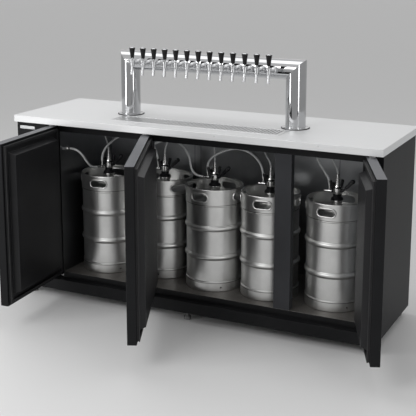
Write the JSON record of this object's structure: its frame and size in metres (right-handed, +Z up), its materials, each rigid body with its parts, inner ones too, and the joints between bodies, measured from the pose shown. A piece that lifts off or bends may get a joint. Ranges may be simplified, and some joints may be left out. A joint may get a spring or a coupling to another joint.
{
  "type": "draft beer dispenser",
  "caption": "Under-bar keg cooler with swing doors, standing beer kegs with couplers and hoses inside, and a chrome pass-through tap tower with a drip tray on its worktop.",
  "frame": {"origin": "on the floor under the middle front levelling foot", "axes": "+X to the right along the cabinet as seen from the doors, +Y from the doors to the back, +Z up"},
  "size_m": [2.3683, 1.398, 1.513],
  "materials": {
    "black_paint": "satin, fine texture",
    "worktop_steel": "satin",
    "interior_metal": "dull, embossed",
    "floor_metal": "dull",
    "door_liner": "smooth",
    "door_seal": "matt",
    "tray_steel": "brushed",
    "foot_metal": "satin",
    "plated_steel": "bright",
    "keg_steel": "brushed",
    "coupler_black": "satin",
    "hose": "translucent",
    "chrome": "polished",
    "handle_black": "gloss, with a plated cap",
    "compressor_black": "satin",
    "coil_metal": "bare",
    "fan_plastic": "matt"
  },
  "bodies": {
    "cabinet": {"worktop": "worktop_steel", "drip_tray": "tray_steel", "drip_grid": "tray_steel", "roof_panel": "interior_metal", "back_panel": "interior_metal", "left_bulkhead": "interior_metal", "left_side_cover": "black_paint", "right_wall": "black_paint", "floor_panel": "floor_metal", "header_rail": "black_paint", "base_frame": "black_paint", "mullions": "interior_metal", "louvre_panel": "black_paint", "feet": "foot_metal", "hinge_brackets": "plated_steel", "keg_1": "keg_steel", "keg_2": "keg_steel", "keg_3": "keg_steel", "keg_4": "keg_steel", "keg_5": "keg_steel", "coupler_bodies": "coupler_black", "line_fittings": "plated_steel", "beer_lines": "hose", "gas_lines": "hose", "tower_columns": "chrome", "tower_crossbar": "chrome", "tap_shanks": "chrome", "faucet_bodies": "chrome", "compressor": "compressor_black", "condenser": "coil_metal", "evaporator": "coil_metal"},
    "left_door": {"left_door_shell": "black_paint", "left_door_liner": "door_liner", "left_door_seal": "door_seal"},
    "middle_door": {"middle_door_shell": "black_paint", "middle_door_liner": "door_liner", "middle_door_seal": "door_seal"},
    "right_door": {"right_door_shell": "black_paint", "right_door_liner": "door_liner", "right_door_seal": "door_seal"},
    "coupler_lever_1_body": {"coupler_lever_1": "coupler_black"},
    "coupler_lever_2_body": {"coupler_lever_2": "coupler_black"},
    "coupler_lever_3_body": {"coupler_lever_3": "coupler_black"},
    "coupler_lever_4_body": {"coupler_lever_4": "coupler_black"},
    "coupler_lever_5_body": {"coupler_lever_5": "coupler_black"},
    "tap_handle_01_body": {"tap_handle_01": "handle_black"},
    "tap_handle_02_body": {"tap_handle_02": "handle_black"},
    "tap_handle_03_body": {"tap_handle_03": "handle_black"},
    "tap_handle_04_body": {"tap_handle_04": "handle_black"},
    "tap_handle_05_body": {"tap_handle_05": "handle_black"},
    "tap_handle_06_body": {"tap_handle_06": "handle_black"},
    "tap_handle_07_body": {"tap_handle_07": "handle_black"},
    "tap_handle_08_body": {"tap_handle_08": "handle_black"},
    "tap_handle_09_body": {"tap_handle_09": "handle_black"},
    "tap_handle_10_body": {"tap_handle_10": "handle_black"},
    "tap_handle_11_body": {"tap_handle_11": "handle_black"},
    "tap_handle_12_body": {"tap_handle_12": "handle_black"},
    "tap_handle_13_body": {"tap_handle_13": "handle_black"},
    "condenser_fan_body": {"condenser_fan": "fan_plastic"},
    "evaporator_fan_body": {"evaporator_fan": "fan_plastic"}
  },
  "joints": [
    {"name": "left_door_hinge", "type": "hinge", "parent": "cabinet", "child": "left_door", "pos_m": [-0.863, -0.034, 0.595], "axis": [0, 0, -1], "range_deg": [-86, 29]},
    {"name": "middle_door_hinge", "type": "hinge", "parent": "cabinet", "child": "middle_door", "pos_m": [-0.24421, -0.034, 0.595], "axis": [0, 0, -1], "range_deg": [-66, 49]},
    {"name": "right_door_hinge", "type": "hinge", "parent": "cabinet", "child": "right_door", "pos_m": [1.052, -0.034, 0.595], "axis": [0, 0, 1], "range_deg": [-113, 2]},
    {"name": "coupler_lever_1_hinge", "type": "hinge", "parent": "cabinet", "child": "coupler_lever_1_body", "pos_m": [-0.62491, 0.24319, 0.784], "axis": [0, -1, 0], "range_deg": [-60, 15]},
    {"name": "coupler_lever_2_hinge", "type": "hinge", "parent": "cabinet", "child": "coupler_lever_2_body", "pos_m": [-0.27298, 0.30404, 0.784], "axis": [0, -1, 0], "range_deg": [-60, 15]},
    {"name": "coupler_lever_3_hinge", "type": "hinge", "parent": "cabinet", "child": "coupler_lever_3_body", "pos_m": [0.08705, 0.23516, 0.784], "axis": [0, -1, 0], "range_deg": [-60, 15]},
    {"name": "coupler_lever_4_hinge", "type": "hinge", "parent": "cabinet", "child": "coupler_lever_4_body", "pos_m": [0.43146, 0.23573, 0.784], "axis": [0, -1, 0], "range_deg": [-60, 15]},
    {"name": "coupler_lever_5_hinge", "type": "hinge", "parent": "cabinet", "child": "coupler_lever_5_body", "pos_m": [0.81594, 0.24491, 0.784], "axis": [0, -1, 0], "range_deg": [-60, 15]},
    {"name": "tap_handle_01_tilt", "type": "hinge", "parent": "cabinet", "child": "tap_handle_01_body", "pos_m": [-0.42, 0.141, 1.426], "axis": [1, 0, 0], "range_deg": [0, 30]},
    {"name": "tap_handle_02_tilt", "type": "hinge", "parent": "cabinet", "child": "tap_handle_02_body", "pos_m": [-0.35, 0.141, 1.426], "axis": [1, 0, 0], "range_deg": [0, 30]},
    {"name": "tap_handle_03_tilt", "type": "hinge", "parent": "cabinet", "child": "tap_handle_03_body", "pos_m": [-0.28, 0.141, 1.426], "axis": [1, 0, 0], "range_deg": [0, 30]},
    {"name": "tap_handle_04_tilt", "type": "hinge", "parent": "cabinet", "child": "tap_handle_04_body", "pos_m": [-0.21, 0.141, 1.426], "axis": [1, 0, 0], "range_deg": [0, 30]},
    {"name": "tap_handle_05_tilt", "type": "hinge", "parent": "cabinet", "child": "tap_handle_05_body", "pos_m": [-0.14, 0.141, 1.426], "axis": [1, 0, 0], "range_deg": [0, 30]},
    {"name": "tap_handle_06_tilt", "type": "hinge", "parent": "cabinet", "child": "tap_handle_06_body", "pos_m": [-0.07, 0.141, 1.426], "axis": [1, 0, 0], "range_deg": [0, 30]},
    {"name": "tap_handle_07_tilt", "type": "hinge", "parent": "cabinet", "child": "tap_handle_07_body", "pos_m": [0, 0.141, 1.426], "axis": [1, 0, 0], "range_deg": [0, 30]},
    {"name": "tap_handle_08_tilt", "type": "hinge", "parent": "cabinet", "child": "tap_handle_08_body", "pos_m": [0.07, 0.141, 1.426], "axis": [1, 0, 0], "range_deg": [0, 30]},
    {"name": "tap_handle_09_tilt", "type": "hinge", "parent": "cabinet", "child": "tap_handle_09_body", "pos_m": [0.14, 0.141, 1.426], "axis": [1, 0, 0], "range_deg": [0, 30]},
    {"name": "tap_handle_10_tilt", "type": "hinge", "parent": "cabinet", "child": "tap_handle_10_body", "pos_m": [0.21, 0.141, 1.426], "axis": [1, 0, 0], "range_deg": [0, 30]},
    {"name": "tap_handle_11_tilt", "type": "hinge", "parent": "cabinet", "child": "tap_handle_11_body", "pos_m": [0.28, 0.141, 1.426], "axis": [1, 0, 0], "range_deg": [0, 30]},
    {"name": "tap_handle_12_tilt", "type": "hinge", "parent": "cabinet", "child": "tap_handle_12_body", "pos_m": [0.35, 0.141, 1.426], "axis": [1, 0, 0], "range_deg": [0, 30]},
    {"name": "tap_handle_13_tilt", "type": "hinge", "parent": "cabinet", "child": "tap_handle_13_body", "pos_m": [0.42, 0.141, 1.426], "axis": [1, 0, 0], "range_deg": [0, 30]},
    {"name": "condenser_fan_spin", "type": "hinge", "parent": "cabinet", "child": "condenser_fan_body", "pos_m": [-0.9985, 0.079, 0.281], "axis": [0, 1, 0], "continuous": true},
    {"name": "evaporator_fan_spin", "type": "hinge", "parent": "cabinet", "child": "evaporator_fan_body", "pos_m": [0.0995, 0.465, 0.968], "axis": [0, 1, 0], "continuous": true}
  ]
}
